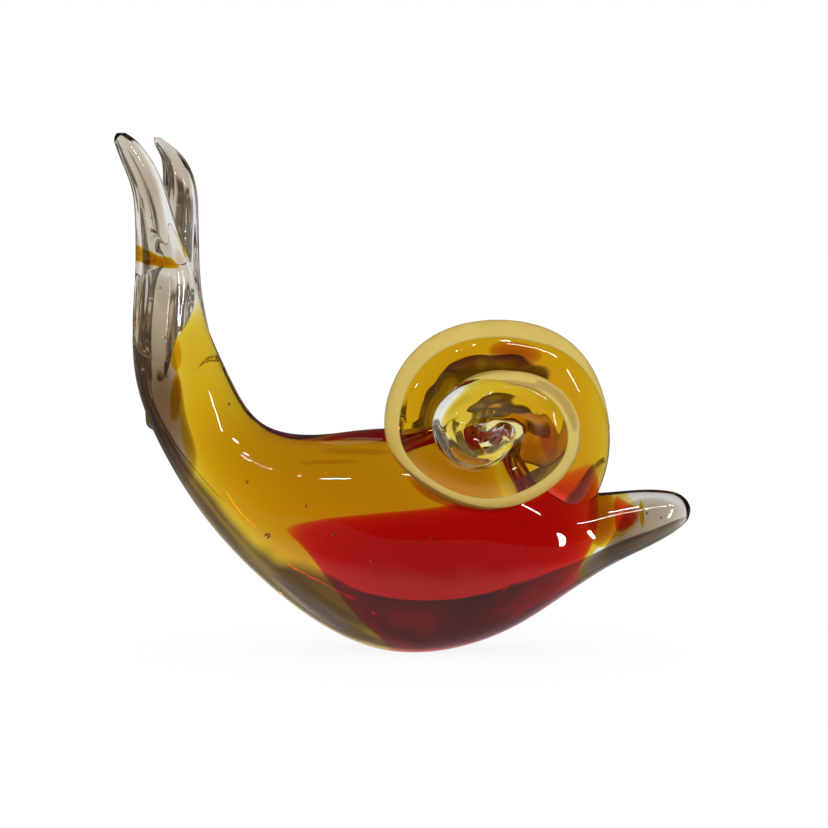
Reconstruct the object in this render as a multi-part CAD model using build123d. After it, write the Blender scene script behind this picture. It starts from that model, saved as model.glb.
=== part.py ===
from build123d import *
import math
import os

# A snail ornament of hot-worked cased glass. Lengths are in millimetres.
# +X runs from the head to the tail, +Y to the far side and +Z up.
# The origin is the middle of the flat that is ground on the belly.

# Body
BODY_SPAN = 132.0        # most forward point of the neck to the tail seal
BODY_RISE = 93.8         # belly before grinding, up to the neck seal
BODY_WIDTH = 38.0
FOOT_DEPTH = 1.8         # glass ground off the belly

# Head, feelers and tail
HEAD_HEIGHT = 18.0       # neck seal to the fork
HEAD_LENGTH = 18.0       # front to back at the fork
HEAD_WIDTH = 25.0
NEAR_FEELER_HEIGHT = 36.0
FAR_FEELER_HEIGHT = 34.5
FEELER_THICKNESS = 10.2
FEELER_SPACING = 12.6    # between the middles of the two roots
FEELER_SPREAD = 4.0      # how much further apart the tips stand
TAIL_LENGTH = 24.6
TIP_RADIUS = 1.6         # blunt end of the tail
NOSE_RADIUS = 1.8        # blunt end of each inner gather

# Walls of the clear casing round the amber, and of the amber round the ruby
BELLY_WALL = 15.0
BACK_WALL = 4.0
SIDE_WALL = 4.5
AMBER_FLOOR = 2.0
AMBER_ROOF = 20.0
AMBER_SIDE = 2.5

# Shell: a tapered rod wound into an oval coil that stands out towards the near side
COIL_HALF_LENGTH = 23.1
COIL_HALF_HEIGHT = 17.9
COIL_OFFSET = 1.0        # middle of the body to the first turn
COIL_GAP = 0.6           # air between two turns
ROD_RADIUS = 10.0        # at the root
RIM_WALL = 6.0           # casing of the rod on the outer edge of the coil
SKIN_WALL = 1.2          # casing of the rod on the inner edge
COIL_CENTRE_X_SHARE = 0.174
COIL_CENTRE_Z_SHARE = 0.726

# Body hoops from the neck seal to the tail seal: front x and z, back x and z, half width
BODY_HOOP_SHARES = [
    (-0.597, 0.976, -0.439, 1.000, 0.58),
    (-0.587, 0.808, -0.388, 0.841, 0.64),
    (-0.540, 0.631, -0.320, 0.707, 0.74),
    (-0.447, 0.424, -0.222, 0.659, 0.87),
    (-0.324, 0.229, -0.133, 0.671, 0.96),
    (-0.176, 0.067, -0.032, 0.677, 1.00),
    (0.000, 0.000, 0.085, 0.665, 1.00),
    (0.174, 0.055, 0.206, 0.604, 0.93),
    (0.299, 0.155, 0.311, 0.537, 0.76),
    (0.400, 0.247, 0.396, 0.488, 0.52),
]
BODY_WIDEST_SHARE = 0.42

# Head hoops above the neck: height, front x, length, width
HEAD_HOOP_SHARES = [
    (1.00, -0.594, 1.00, 1.00),
    (0.50, -0.596, 1.04, 0.93),
]

# Tail hoops: front x and z, back x and z in the tail's length and root height, half width
TAIL_HOOP_SHARES = [
    (0.42, 0.228, 0.40, 0.990, 0.80),
    (0.74, 0.405, 0.69, 0.987, 0.60),
    (0.90, 0.544, 0.875, 0.937, 0.43),
    (0.975, 0.646, 0.955, 0.848, 0.24),
]
TAIL_TIP_SHARES = (1.0, 0.734)

# Clear wall at each body hoop after the first: belly, back, side
OVERLAY_WALL_SHARES = [
    (0.90, 0.80, 0.80),
    (0.77, 0.80, 0.90),
    (0.63, 0.90, 1.00),
    (0.73, 1.00, 1.10),
    (1.00, 1.20, 1.20),
    (1.13, 1.30, 1.20),
    (0.93, 1.20, 1.10),
    (0.60, 1.00, 0.90),
    (0.40, 0.90, 0.80),
]
OVERLAY_NECK_NOSE_SHARE = 0.76     # across the neck seal, front to back
OVERLAY_NECK_DEPTH_SHARE = 0.22    # below the neck seal, towards the next hoop
OVERLAY_TAIL_NOSE_SHARES = (0.24, 0.58)

# Amber wall at the last body hoops: floor, roof, side
RUBY_FIRST_STATION = 5
RUBY_WALL_SHARES = [
    (1.00, 1.10, 1.10),
    (1.00, 1.05, 1.00),
    (1.00, 0.70, 1.00),
    (0.80, 0.30, 0.90),
    (0.70, 0.15, 0.70),
]
RUBY_NOSE_SHARE = 0.30             # across the overlay, one hoop before the first
RUBY_TAIL_NOSE_SHARES = (0.14, 0.56)

# Feelers: height, front x and back x in the head's length, thickness, spread
NEAR_FEELER_SHARES = [
    (0.000, 0.060, 0.810, 1.00, 0.00),
    (0.287, 0.000, 0.656, 0.90, 0.25),
    (0.558, -0.047, 0.484, 0.78, 0.55),
    (0.744, -0.170, 0.312, 0.68, 0.75),
    (0.876, -0.266, 0.125, 0.54, 0.90),
    (0.946, -0.290, -0.047, 0.36, 0.95),
]
NEAR_TIP_SHARES = (1.0, -0.22)
FAR_FEELER_SHARES = [
    (0.000, 0.234, 0.960, 1.00, 0.00),
    (0.298, 0.360, 0.984, 0.90, 0.25),
    (0.580, 0.437, 0.953, 0.76, 0.55),
    (0.742, 0.437, 0.860, 0.66, 0.75),
    (0.855, 0.390, 0.720, 0.52, 0.90),
    (0.935, 0.312, 0.547, 0.34, 0.95),
]
FAR_TIP_SHARES = (1.0, 0.36)

# Coil from the root to the drawn end: x, z, rod radius, lean towards the near side
COIL_SHARES = [
    (0.606, -1.516, 1.00, -0.10),
    (0.885, -0.922, 0.94, -0.05),
    (0.982, -0.266, 0.87, 0.00),
    (0.691, 0.656, 0.84, 0.13),
    (0.000, 0.969, 0.84, 0.26),
    (-0.709, 0.680, 0.81, 0.38),
    (-1.000, -0.109, 0.81, 0.50),
    (-0.836, -0.609, 0.79, 0.62),
    (-0.206, -0.984, 0.78, 0.75),
    (0.376, -0.766, 0.78, 0.88),
    (0.630, -0.328, 0.77, 1.00),
    (0.509, 0.156, 0.71, 1.08),
    (0.097, 0.344, 0.68, 1.12),
    (-0.291, 0.250, 0.63, 1.15),
    (-0.497, -0.047, 0.56, 1.19),
    (-0.461, -0.312, 0.48, 1.30),
    (-0.230, -0.523, 0.41, 1.45),
    (-0.024, -0.406, 0.37, 1.49),
    (0.073, -0.219, 0.34, 1.51),
]
FIRST_TURN_STATION = 2       # right side of the first turn
SECOND_TURN_STATION = 10     # right side of the second turn
CURL_STATION = 14            # seal between the coil and its clear end
CORE_LAST_STATION = 12
CORE_NOSE_SHARE = 0.9        # of the way to the next station
END_BEAD_SHARE = 1.10        # of the rod's radius at its end
GAP_STEPS = 12               # points between two stations when the gap is measured
RIGHT_ANGLE = 90             # degrees
HALF_TURN = 180              # degrees


def oval(origin, along, to_front, to_back, half_width):
    """Oval face about origin, its long axis on along, with its own reach to each end."""
    plane = Plane(origin=origin, x_dir=along, z_dir=along.cross(Vector(0, 1, 0)))
    back_half = EllipticalCenterArc((0, 0), to_back, half_width, start_angle=-RIGHT_ANGLE, arc_size=HALF_TURN)
    front_half = EllipticalCenterArc((0, 0), to_front, half_width, start_angle=RIGHT_ANGLE, arc_size=HALF_TURN)
    return plane * make_face([back_half, front_half])


def hoop(front, back, half_width, widest_share):
    """Oval across the body through a front point and a back point."""
    along = back - front
    length = along.length
    widest = front + along * widest_share
    return oval(widest, along.normalized(), length * widest_share, length * (1 - widest_share), half_width)


def blunt_end(middle, along, radius):
    """Small round hoop that ends a gather."""
    return oval(middle, along, radius, radius, radius)


def body_point(x_share, z_share):
    return Vector(x_share * BODY_SPAN, 0, z_share * BODY_RISE - FOOT_DEPTH)


# Front point, back point and half width of each body hoop
body_rows = []
for front_x, front_z, back_x, back_z, width in BODY_HOOP_SHARES:
    body_rows.append((body_point(front_x, front_z), body_point(back_x, back_z), width * BODY_WIDTH / 2))

neck_front, neck_back, neck_half_width = body_rows[0]
tail_front, tail_back, tail_half_width = body_rows[-1]
fork_height = neck_back.Z + HEAD_HEIGHT
fork_front_x = HEAD_HOOP_SHARES[0][1] * BODY_SPAN

head_rows = []
for height, front_x, length, width in HEAD_HOOP_SHARES:
    front = Vector(front_x * BODY_SPAN, 0, neck_back.Z + height * HEAD_HEIGHT)
    head_rows.append((front, front + Vector(length * HEAD_LENGTH, 0, 0), width * HEAD_WIDTH / 2))

tail_height = (tail_back - tail_front).length


def tail_point(x_share, z_share):
    return tail_front + Vector(x_share * TAIL_LENGTH, 0, z_share * tail_height)


tail_rows = []
for front_x, front_z, back_x, back_z, width in TAIL_HOOP_SHARES:
    tail_rows.append((tail_point(front_x, front_z), tail_point(back_x, back_z), width * tail_half_width))

# Outer form from the fork to the end of the tail in one skin, cut at the two seals
tail_along = (tail_back - tail_front).normalized()
outer_hoops = [blunt_end(tail_point(*TAIL_TIP_SHARES), tail_along, TIP_RADIUS)]
for front, back, half_width in (head_rows + body_rows + tail_rows)[::-1]:
    outer_hoops.append(hoop(front, back, half_width, BODY_WIDEST_SHARE))
outer_form = loft(outer_hoops)
neck_along = (neck_back - neck_front).normalized()
neck_seal = Plane(origin=neck_front, x_dir=neck_along, z_dir=neck_along.cross(Vector(0, 1, 0)))
tail_seal = Plane(origin=tail_front, x_dir=tail_along, z_dir=tail_along.cross(Vector(0, 1, 0)))
head_bit = split(outer_form, bisect_by=neck_seal, keep=Keep.TOP)
below_neck = split(outer_form, bisect_by=neck_seal, keep=Keep.BOTTOM)
body_form = split(below_neck, bisect_by=tail_seal, keep=Keep.TOP)
tail_form = split(below_neck, bisect_by=tail_seal, keep=Keep.BOTTOM)
body_form = split(body_form, bisect_by=Plane.XY, keep=Keep.TOP)


def inner_row(row, front_wall, back_wall, side_wall):
    """Row inside another one, thinner by a wall on each side."""
    front, back, half_width = row
    along = (back - front).normalized()
    return (front + along * front_wall, back - along * back_wall, half_width - side_wall)


# Amber overlay: hoops inside the body's own, with a nose in the neck and one in the tail
overlay_rows = []
for row, (belly, back_share, side) in zip(body_rows[1:], OVERLAY_WALL_SHARES):
    overlay_rows.append(inner_row(row, belly * BELLY_WALL, back_share * BACK_WALL, side * SIDE_WALL))
neck_nose = neck_front + (neck_back - neck_front) * OVERLAY_NECK_NOSE_SHARE
next_nose = body_rows[1][0] + (body_rows[1][1] - body_rows[1][0]) * OVERLAY_NECK_NOSE_SHARE
neck_nose = neck_nose + (next_nose - neck_nose) * OVERLAY_NECK_DEPTH_SHARE
overlay_hoops = [blunt_end(tail_point(*OVERLAY_TAIL_NOSE_SHARES), tail_along, NOSE_RADIUS)]
for front, back, half_width in overlay_rows[::-1]:
    overlay_hoops.append(hoop(front, back, half_width, BODY_WIDEST_SHARE))
overlay_hoops.append(blunt_end(neck_nose, neck_along, NOSE_RADIUS))
overlay_form = loft(overlay_hoops)

# Ruby core: hoops inside the overlay's last ones, with a nose at each end
ruby_rows = []
for row, (floor, roof, side) in zip(overlay_rows[RUBY_FIRST_STATION - 1:], RUBY_WALL_SHARES):
    ruby_rows.append(inner_row(row, floor * AMBER_FLOOR, roof * AMBER_ROOF, side * AMBER_SIDE))
nose_front, nose_back, nose_half_width = overlay_rows[RUBY_FIRST_STATION - 2]
ruby_hoops = [blunt_end(tail_point(*RUBY_TAIL_NOSE_SHARES), tail_along, NOSE_RADIUS)]
for front, back, half_width in ruby_rows[::-1]:
    ruby_hoops.append(hoop(front, back, half_width, BODY_WIDEST_SHARE))
nose_along = nose_back - nose_front
ruby_hoops.append(blunt_end(nose_front + nose_along * RUBY_NOSE_SHARE, nose_along.normalized(), NOSE_RADIUS))
ruby_form = loft(ruby_hoops)

# Stations of the coil. The second turn stands out far enough to clear the first.
centre_x = COIL_CENTRE_X_SHARE * BODY_SPAN
centre_z = COIL_CENTRE_Z_SHARE * BODY_RISE - FOOT_DEPTH
first_turn = COIL_SHARES[FIRST_TURN_STATION]
second_turn = COIL_SHARES[SECOND_TURN_STATION]
turn_step = math.hypot((first_turn[0] - second_turn[0]) * COIL_HALF_LENGTH,
                       (first_turn[1] - second_turn[1]) * COIL_HALF_HEIGHT)
turn_reach = (first_turn[2] + second_turn[2]) * ROD_RADIUS + COIL_GAP
coil_lean = math.sqrt(turn_reach ** 2 - turn_step ** 2)
stations = []
for x, z, radius, lean in COIL_SHARES:
    middle = Vector(
        centre_x + x * COIL_HALF_LENGTH,
        -COIL_OFFSET - lean * coil_lean,
        centre_z + z * COIL_HALF_HEIGHT,
    )
    stations.append((middle, radius))
middles = [middle for middle, radius in stations]
headings = [(middles[1] - middles[0]).normalized()]
for before, after in zip(middles[:-2], middles[2:]):
    headings.append((after - before).normalized())
headings.append((middles[-1] - middles[-2]).normalized())


def rod_section(station, front_wall=0.0, back_wall=0.0):
    """Round section of the rod, less a wall on the coil's outer edge and one on its inner edge."""
    middle, radius = stations[station]
    heading = headings[station]
    outward = heading.cross(Vector(0, 1, 0)).normalized() * -1
    core_radius = radius * (ROD_RADIUS - (front_wall + back_wall) / 2)
    core_middle = middle - outward * radius * (front_wall - back_wall) / 2
    return Plane(origin=core_middle, x_dir=outward, z_dir=heading) * Circle(core_radius)


coil_form = loft([rod_section(number) for number in range(CURL_STATION + 1)])

# Clear end: the last stations, with the bead that the flame leaves on a cut end
end_middle, end_share = stations[-1]
end_bead = Pos(*end_middle) * Sphere(end_share * ROD_RADIUS * END_BEAD_SHARE)
curl_rod = loft([rod_section(number) for number in range(CURL_STATION, len(stations))])
coil_end_curl = curl_rod + end_bead

# Amber core of the rod, from the root to a nose short of the clear end
core_sections = [rod_section(number, RIM_WALL, SKIN_WALL) for number in range(CORE_LAST_STATION + 1)]
last_core = middles[CORE_LAST_STATION]
core_nose = last_core + (middles[CORE_LAST_STATION + 1] - last_core) * CORE_NOSE_SHARE
core_heading = (core_nose - last_core).normalized()
core_outward = core_heading.cross(Vector(0, 1, 0)).normalized() * -1
core_end = Plane(origin=core_nose, x_dir=core_outward, z_dir=core_heading) * Circle(NOSE_RADIUS)
coil_core = loft(core_sections + [core_end])


def feeler(rows, tip_shares, height, side):
    """Tapered feeler on the fork: level ovals up to a point. side is -1 near, 1 far."""
    sections = []
    for rise, front_x, back_x, thickness, spread in rows:
        half_length = (back_x - front_x) / 2 * HEAD_LENGTH
        middle = Vector(
            fork_front_x + (front_x + back_x) / 2 * HEAD_LENGTH,
            side * (FEELER_SPACING + spread * FEELER_SPREAD) / 2,
            fork_height + rise * height,
        )
        sections.append(oval(middle, Vector(1, 0, 0), half_length, half_length, thickness * FEELER_THICKNESS / 2))
    rise, tip_x = tip_shares
    tip_y = side * (FEELER_SPACING + FEELER_SPREAD) / 2
    sections.append(Vertex(fork_front_x + tip_x * HEAD_LENGTH, tip_y, fork_height + rise * height))
    return loft(sections)


near_feeler = feeler(NEAR_FEELER_SHARES, NEAR_TIP_SHARES, NEAR_FEELER_HEIGHT, -1)
far_feeler = feeler(FAR_FEELER_SHARES, FAR_TIP_SHARES, FAR_FEELER_HEIGHT, 1)

# Each gather is hollow where the next one lies, and the coil is let into the back
clear_casing = body_form - overlay_form - coil_form
amber_overlay = overlay_form - ruby_form - coil_form
ruby_core = ruby_form - coil_form
tail_tip = tail_form - overlay_form - coil_form
coil_casing = coil_form - coil_core

nodes = {
    "clear_casing": clear_casing,
    "amber_overlay": amber_overlay,
    "ruby_core": ruby_core,
    "head_bit": head_bit,
    "near_feeler": near_feeler,
    "far_feeler": far_feeler,
    "tail_tip": tail_tip,
    "coil_casing": coil_casing,
    "coil_core": coil_core,
    "coil_end_curl": coil_end_curl,
}

# Least air between two turns, measured on points along the middle of the rod
path = Spline(*middles)
station_places = [path.param_at_point(middle) for middle in middles]
walk = []
for number in range(len(stations) - 1):
    for step in range(GAP_STEPS):
        part = step / GAP_STEPS
        place = station_places[number] * (1 - part) + station_places[number + 1] * part
        radius = stations[number][1] * (1 - part) + stations[number + 1][1] * part
        walk.append((path @ place, radius * ROD_RADIUS))
half_turn = GAP_STEPS * (SECOND_TURN_STATION - FIRST_TURN_STATION) // 2
gaps = []
for number, (point, radius) in enumerate(walk):
    for other, other_radius in walk[number + half_turn:]:
        gaps.append((other - point).length - radius - other_radius)
print("least gap between turns", round(min(gaps), 2))

os.makedirs("parts", exist_ok=True)
for name, shape in nodes.items():
    export_step(shape, f"parts/{name}.step")
    print(name, len(shape.solids()), round(shape.volume), shape.is_valid)
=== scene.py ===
import math

import bpy
import numpy as np
from mathutils import Matrix


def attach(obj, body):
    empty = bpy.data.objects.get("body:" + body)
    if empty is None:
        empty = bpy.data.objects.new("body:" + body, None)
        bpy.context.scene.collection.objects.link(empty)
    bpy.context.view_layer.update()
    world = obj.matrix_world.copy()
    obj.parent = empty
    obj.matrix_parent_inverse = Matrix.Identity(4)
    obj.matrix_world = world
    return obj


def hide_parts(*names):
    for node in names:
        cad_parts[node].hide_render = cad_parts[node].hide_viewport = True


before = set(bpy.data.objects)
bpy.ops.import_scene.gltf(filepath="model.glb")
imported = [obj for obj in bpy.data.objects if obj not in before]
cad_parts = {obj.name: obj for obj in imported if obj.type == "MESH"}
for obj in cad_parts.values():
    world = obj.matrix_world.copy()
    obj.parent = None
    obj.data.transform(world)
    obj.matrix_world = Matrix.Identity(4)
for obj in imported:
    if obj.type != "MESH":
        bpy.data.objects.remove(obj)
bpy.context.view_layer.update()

bl_info = {
    "name": "Glass snail ornament",
    "version": (1, 0, 0),
    "blender": (4, 5, 0),
    "location": "View3D > Sidebar > Snail",
    "description": "Snail ornament of cased art glass, built over its packed solids",
    "category": "Object",
}

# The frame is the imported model's own: metres, +X from the head to the tail, +Y to the far side, +Z up.
# The pieces' tables are in millimetres, read from the ornament's side view. The stage's are in metres.
MM = 0.001

# Outer skin of the body from inside the head to the end of the tail:
# front x and z, back x and z, half width, middle y
BODY_HOOPS = [
    (-70.0, 107.5, -66.0, 107.5, 2.0, 0.0),
    (-74.5, 104.0, -62.0, 104.5, 6.4, 0.0),
    (-77.6, 97.0, -59.9, 97.6, 9.4, 0.0),
    (-78.6, 88.2, -57.7, 89.8, 11.0, 0.0),
    (-77.3, 74.0, -52.0, 76.7, 12.2, 0.0),
    (-71.0, 57.6, -43.3, 63.7, 14.1, 0.0),
    (-59.1, 38.1, -29.4, 60.1, 16.5, 0.0),
    (-41.8, 19.3, -17.6, 61.2, 18.3, 0.0),
    (-20.4, 4.2, -4.2, 62.0, 19.0, 0.0),
    (0.6, -0.6, 11.2, 60.6, 19.0, 0.0),
    (23.0, 4.5, 27.2, 55.0, 17.7, 0.0),
    (39.5, 14.1, 41.0, 45.6, 14.4, 0.0),
    (52.8, 22.7, 52.3, 43.9, 10.0, 0.0),
    (63.1, 27.9, 62.5, 44.7, 7.9, 0.0),
    (70.9, 32.0, 69.8, 44.6, 5.9, 0.0),
    (74.8, 34.8, 74.0, 43.6, 4.3, 0.0),
    (76.5, 36.7, 76.2, 41.8, 2.4, 0.0),
    (77.1, 38.6, 77.1, 40.0, 0.7, 0.0),
]

# Feelers from the lip on the neck up to the tip, in the same columns
NEAR_FEELER_HOOPS = [
    (-72.8, 61.9, -67.4, 61.7, 1.6, -4.4),
    (-74.6, 63.4, -64.8, 63.2, 3.2, -4.6),
    (-75.0, 67.6, -63.6, 68.0, 4.4, -5.0),
    (-76.1, 75.0, -63.4, 76.0, 6.0, -5.6),
    (-77.8, 84.0, -62.4, 84.5, 6.8, -5.8),
    (-78.0, 95.2, -61.6, 95.2, 6.6, -5.8),
    (-77.4, 105.0, -61.6, 105.0, 6.1, -5.8),
    (-77.3, 119.0, -65.8, 119.0, 5.1, -6.2),
    (-78.1, 128.8, -68.8, 128.8, 4.4, -6.8),
    (-80.4, 135.5, -71.6, 135.5, 3.7, -7.4),
    (-82.2, 140.3, -74.8, 140.3, 3.0, -7.8),
    (-82.7, 142.8, -77.2, 142.8, 2.2, -8.0),
    (-82.0, 144.4, -79.6, 144.4, 1.0, -8.0),
]
FAR_FEELER_HOOPS = [
    (-72.4, 61.6, -69.6, 61.8, 2.0, 6.0),
    (-74.4, 63.6, -66.0, 64.2, 4.6, 6.2),
    (-75.0, 68.0, -62.0, 69.0, 6.0, 6.2),
    (-76.4, 75.0, -58.8, 76.0, 6.6, 6.0),
    (-77.6, 84.0, -57.4, 84.5, 6.8, 5.8),
    (-77.0, 95.2, -59.2, 95.2, 6.6, 5.8),
    (-75.4, 105.0, -60.4, 105.0, 6.1, 5.8),
    (-72.0, 119.0, -60.8, 119.0, 5.1, 6.2),
    (-70.6, 128.8, -61.3, 128.8, 4.4, 6.8),
    (-70.6, 134.4, -63.0, 134.4, 3.7, 7.4),
    (-71.4, 138.3, -65.5, 138.3, 2.9, 7.8),
    (-72.8, 141.1, -68.6, 141.1, 2.0, 8.0),
    (-73.0, 143.2, -71.6, 143.2, 0.8, 8.0),
]
WIDEST = 0.42            # where a hoop is widest, from its front to its back
# Power of a hoop on its back and on its belly: 2 is an ellipse, more is fuller
BODY_FULLNESS = (2.4, 2.9)
AMBER_FULLNESS = (2.4, 2.5)
RUBY_FULLNESS = (2.4, 2.6)
FEELER_FULLNESS = (2.0, 2.0)

# Amber gather: clear glass left outside it at the body's hoops, on the belly, the back and the sides
AMBER_FIRST_HOOP = 3
AMBER_WALLS = [
    (11.4, 1.4, 4.6),
    (10.6, 1.6, 4.0),
    (7.2, 2.0, 2.8),
    (6.7, 2.2, 2.4),
    (8.0, 2.4, 2.4),
    (8.4, 2.6, 2.4),
    (4.4, 9.0, 2.4),
    (4.4, 8.0, 2.6),
    (5.4, 3.2, 2.8),
    (8.0, 3.0, 2.4),
]
AMBER_NECK_NOSE = [
    (-63.6, 98.0, -62.2, 98.0, 0.6, 0.0),
    (-64.4, 94.6, -60.8, 95.2, 2.6, 0.0),
]
AMBER_TAIL_NOSE = [
    (56.8, 31.8, 56.6, 42.2, 6.6, 0.0),
    (59.6, 33.6, 59.5, 41.2, 4.4, 0.0),
    (61.6, 35.2, 61.5, 40.0, 2.0, 0.0),
    (62.4, 36.4, 62.4, 38.4, 0.6, 0.0),
]

# Drops and streaks of dark amber, some of them painted shade and a painted glint that stand in for dark and
# golden refractions in clear glass: middle, half sizes, rise along x
DARK_AMBER_AND_PAINTED_SHADE = [
    ((-66.6, -4.6, 83.0), (1.6, 2.6, 4.6), -0.50),      # in the neck; painted glint: dark amber standing in for golden refractions of the amber
    ((-17.0, -4.0, 59.7), (13.0, 6.0, 0.60), 0.02),     # under the back
    ((-21.0, -5.0, 57.4), (14.0, 3.4, 0.45), 0.03),
    ((-16.0, -7.0, 54.9), (11.0, 2.4, 0.50), 0.00),
    ((-24.0, -9.0, 52.6), (9.0, 2.0, 0.40), 0.04),
    ((-66.2, -6.0, 71.0), (1.5, 3.0, 6.6), 0.30),       # beside the amber in the neck; painted shade: dark amber standing in for the dark strip the clear neck shows along the amber's edge
    ((51.8, -1.0, 36.0), (4.8, 5.4, 6.8), 0.25),        # in the root of the tail
    ((63.0, -1.6, 37.8), (0.7, 2.6, 3.2), -0.50),
    ((27.4, -6.0, 83.4), (7.4, 4.6, 2.5), -0.10),       # in the rod; this and the next three are painted shade, dark amber standing in for dark refractions in the coil
    ((13.0, -7.0, 81.0), (4.6, 2.6, 1.6), 0.35),
    ((-0.6, -9.4, 59.6), (3.4, 3.0, 2.2), 0.30),
    ((37.0, -16.4, 60.0), (1.6, 2.6, 5.0), -0.30),
]

# Painted shadow: dark amber along the seal under the coil, standing in for the coil's contact shadow on the
# body, in the body's columns
COIL_SHADOW_HOOPS = [
    (-2.6, 49.4, -2.4, 50.0, 0.6, -12.0),
    (0.8, 45.6, 1.6, 47.2, 3.5, -12.5),
    (7.4, 41.9, 8.2, 44.0, 4.0, -12.5),
    (15.0, 40.0, 15.2, 42.4, 4.0, -12.5),
    (23.0, 39.8, 22.4, 41.6, 3.6, -12.5),
    (29.4, 41.6, 28.6, 42.6, 2.0, -12.5),
    (32.0, 43.4, 31.6, 43.8, 0.5, -12.5),
]
# Dark amber folded across the near feeler
FOLD_HOOPS = [
    (-77.0, 109.4, -77.0, 113.8, 3.0, -6.2),
    (-74.6, 108.6, -74.4, 113.0, 5.0, -6.2),
    (-71.2, 107.6, -71.0, 110.8, 5.2, -6.2),
    (-67.6, 106.8, -67.5, 109.0, 4.2, -6.2),
    (-65.6, 107.2, -65.6, 107.8, 0.6, -6.2),
]

# Seeds, the small bubbles in the glass: x, y, z, radius
SEEDS = [
    (-51.8, -9.0, 70.0, 0.75),
    (-40.4, -9.0, 33.6, 0.80),
    (-69.6, -7.4, 88.0, 0.50),
    (-72.4, -6.4, 98.6, 0.45),
    (-70.2, -7.0, 101.8, 0.40),
    (-73.8, -6.0, 79.4, 0.45),
    (-22.6, -13.0, 34.0, 0.45),
    (-12.0, -13.6, 27.0, 0.55),
    (4.6, -14.4, 33.0, 0.40),
    (16.4, -13.6, 22.6, 0.45),
    (-30.0, -11.0, 41.4, 0.40),
    (-46.4, -9.6, 48.0, 0.50),
    (30.2, -10.6, 29.0, 0.40),
    (64.6, -2.6, 38.4, 0.50),
    (68.4, -1.8, 37.2, 0.40),
    (-75.2, -6.8, 126.0, 0.40),
    (-72.6, -6.4, 121.0, 0.35),
    (-66.4, 6.2, 124.0, 0.40),
]

# Ruby gather inside the amber, in the body's columns: it turns up into the root of the coil
RUBY_HOOPS = [
    (-35.6, 34.2, -34.6, 35.6, 0.6, -3.0),
    (-29.4, 28.2, -27.0, 37.0, 5.8, -3.0),
    (-17.4, 14.0, -14.0, 38.2, 9.0, -3.4),
    (1.5, 4.0, 7.0, 40.0, 10.8, -3.2),
    (24.0, 9.0, 22.0, 43.0, 10.4, -2.6),
    (40.0, 19.6, 30.0, 45.0, 9.0, -1.6),
    (48.6, 30.6, 38.0, 47.4, 5.2, -1.6),
    (51.0, 40.0, 42.0, 49.4, 3.4, -1.6),
    (49.4, 48.2, 45.0, 51.4, 2.2, -1.6),
    (48.4, 52.4, 47.4, 53.0, 0.6, -1.6),
]
# Drop of ruby in the root of the tail
RUBY_TAIL_HOOPS = [
    (55.4, 34.6, 55.4, 39.0, 1.0, -1.0),
    (56.2, 33.2, 56.2, 40.6, 4.0, -1.0),
    (58.4, 33.8, 58.2, 40.2, 4.4, -1.0),
    (60.8, 35.4, 60.6, 39.4, 3.2, -1.0),
    (62.2, 37.0, 62.2, 38.6, 0.8, -1.0),
]

# Painted shade: brown glass in the front of the neck and under the root of the tail, standing in for the dark
# room that the clear glass shows there, in the body's columns
NECK_SHADE_HOOPS = [
    (-60.4, 44.0, -58.8, 45.6, 0.8, 0.0),
    (-65.6, 52.6, -60.2, 55.0, 4.8, 0.0),
    (-69.6, 59.6, -62.6, 62.2, 6.8, -0.5),
    (-72.8, 66.4, -64.2, 69.0, 7.6, -1.0),
    (-74.2, 73.4, -65.2, 74.8, 7.4, -1.0),
    (-75.4, 81.0, -66.8, 81.6, 5.2, -1.0),
    (-76.0, 89.0, -67.4, 89.4, 3.6, -1.0),
    (-75.4, 96.6, -67.0, 97.0, 2.6, -1.0),
    (-73.6, 102.4, -68.4, 102.6, 1.6, -1.0),
    (-71.8, 105.4, -70.6, 105.6, 0.6, -1.0),
]
TAIL_SHADE_HOOPS = [
    (38.0, 13.8, 38.2, 15.4, 1.2, 0.0),
    (43.0, 17.6, 43.2, 23.0, 6.0, 0.0),
    (48.0, 20.9, 48.0, 27.0, 7.0, 0.0),
    (53.0, 23.8, 52.8, 30.0, 6.8, 0.0),
    (59.0, 27.0, 58.6, 38.4, 5.4, 0.0),
    (65.0, 30.0, 64.6, 41.0, 3.8, 0.0),
    (71.0, 33.4, 70.6, 41.0, 2.6, 0.0),
    (74.4, 36.4, 74.2, 39.6, 0.8, 0.0),
]
# Painted shade: brown glass in the feelers' tips, standing in for the dark room that the clear tips show:
# clear glass left outside it at the feelers' last hoops
SHADE_FIRST_HOOP = 5
SHADE_WALLS = [
    (7.8, 7.8, 6.2),
    (5.0, 5.0, 4.8),
    (3.2, 3.2, 3.4),
    (2.0, 2.0, 1.9),
    (1.7, 1.7, 1.6),
    (1.4, 1.4, 1.3),
    (1.0, 1.0, 1.0),
    (0.5, 0.5, 0.5),
]

# Middle line of the coiled rod from its root to its drawn end: x, y, z, radius
COIL_STATIONS = [
    (37.0, 0.5, 39.2, 10.0),
    (43.4, -0.2, 49.8, 9.4),
    (45.6, -1.0, 61.5, 8.7),
    (39.1, -2.9, 78.2, 8.8),
    (23.0, -4.9, 83.9, 8.8),
    (6.5, -6.7, 78.7, 8.7),
    (-0.1, -8.4, 64.5, 8.4),
    (3.7, -10.2, 55.4, 8.0),
    (18.2, -12.2, 48.7, 8.0),
    (31.6, -14.1, 52.6, 8.0),
    (37.5, -15.9, 60.4, 7.9),
    (34.7, -17.1, 69.1, 7.4),
    (25.2, -17.7, 72.5, 7.0),
    (16.3, -18.1, 70.8, 6.5),
    (11.5, -18.7, 65.5, 6.6),
    (12.6, -19.6, 60.9, 6.4),
    (17.4, -20.4, 58.2, 5.6),
    (21.6, -21.4, 59.6, 4.4),
    (24.2, -22.2, 62.4, 3.4),
]
# Clear glass that closes the coil's eye, and the amber inside it: middle, half sizes
KNOB = ((24.5, -14.0, 63.0), (9.0, 2.2, 9.0))
KNOB_HEART = ((24.5, -14.0, 63.0), (7.4, 1.4, 7.4))

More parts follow.
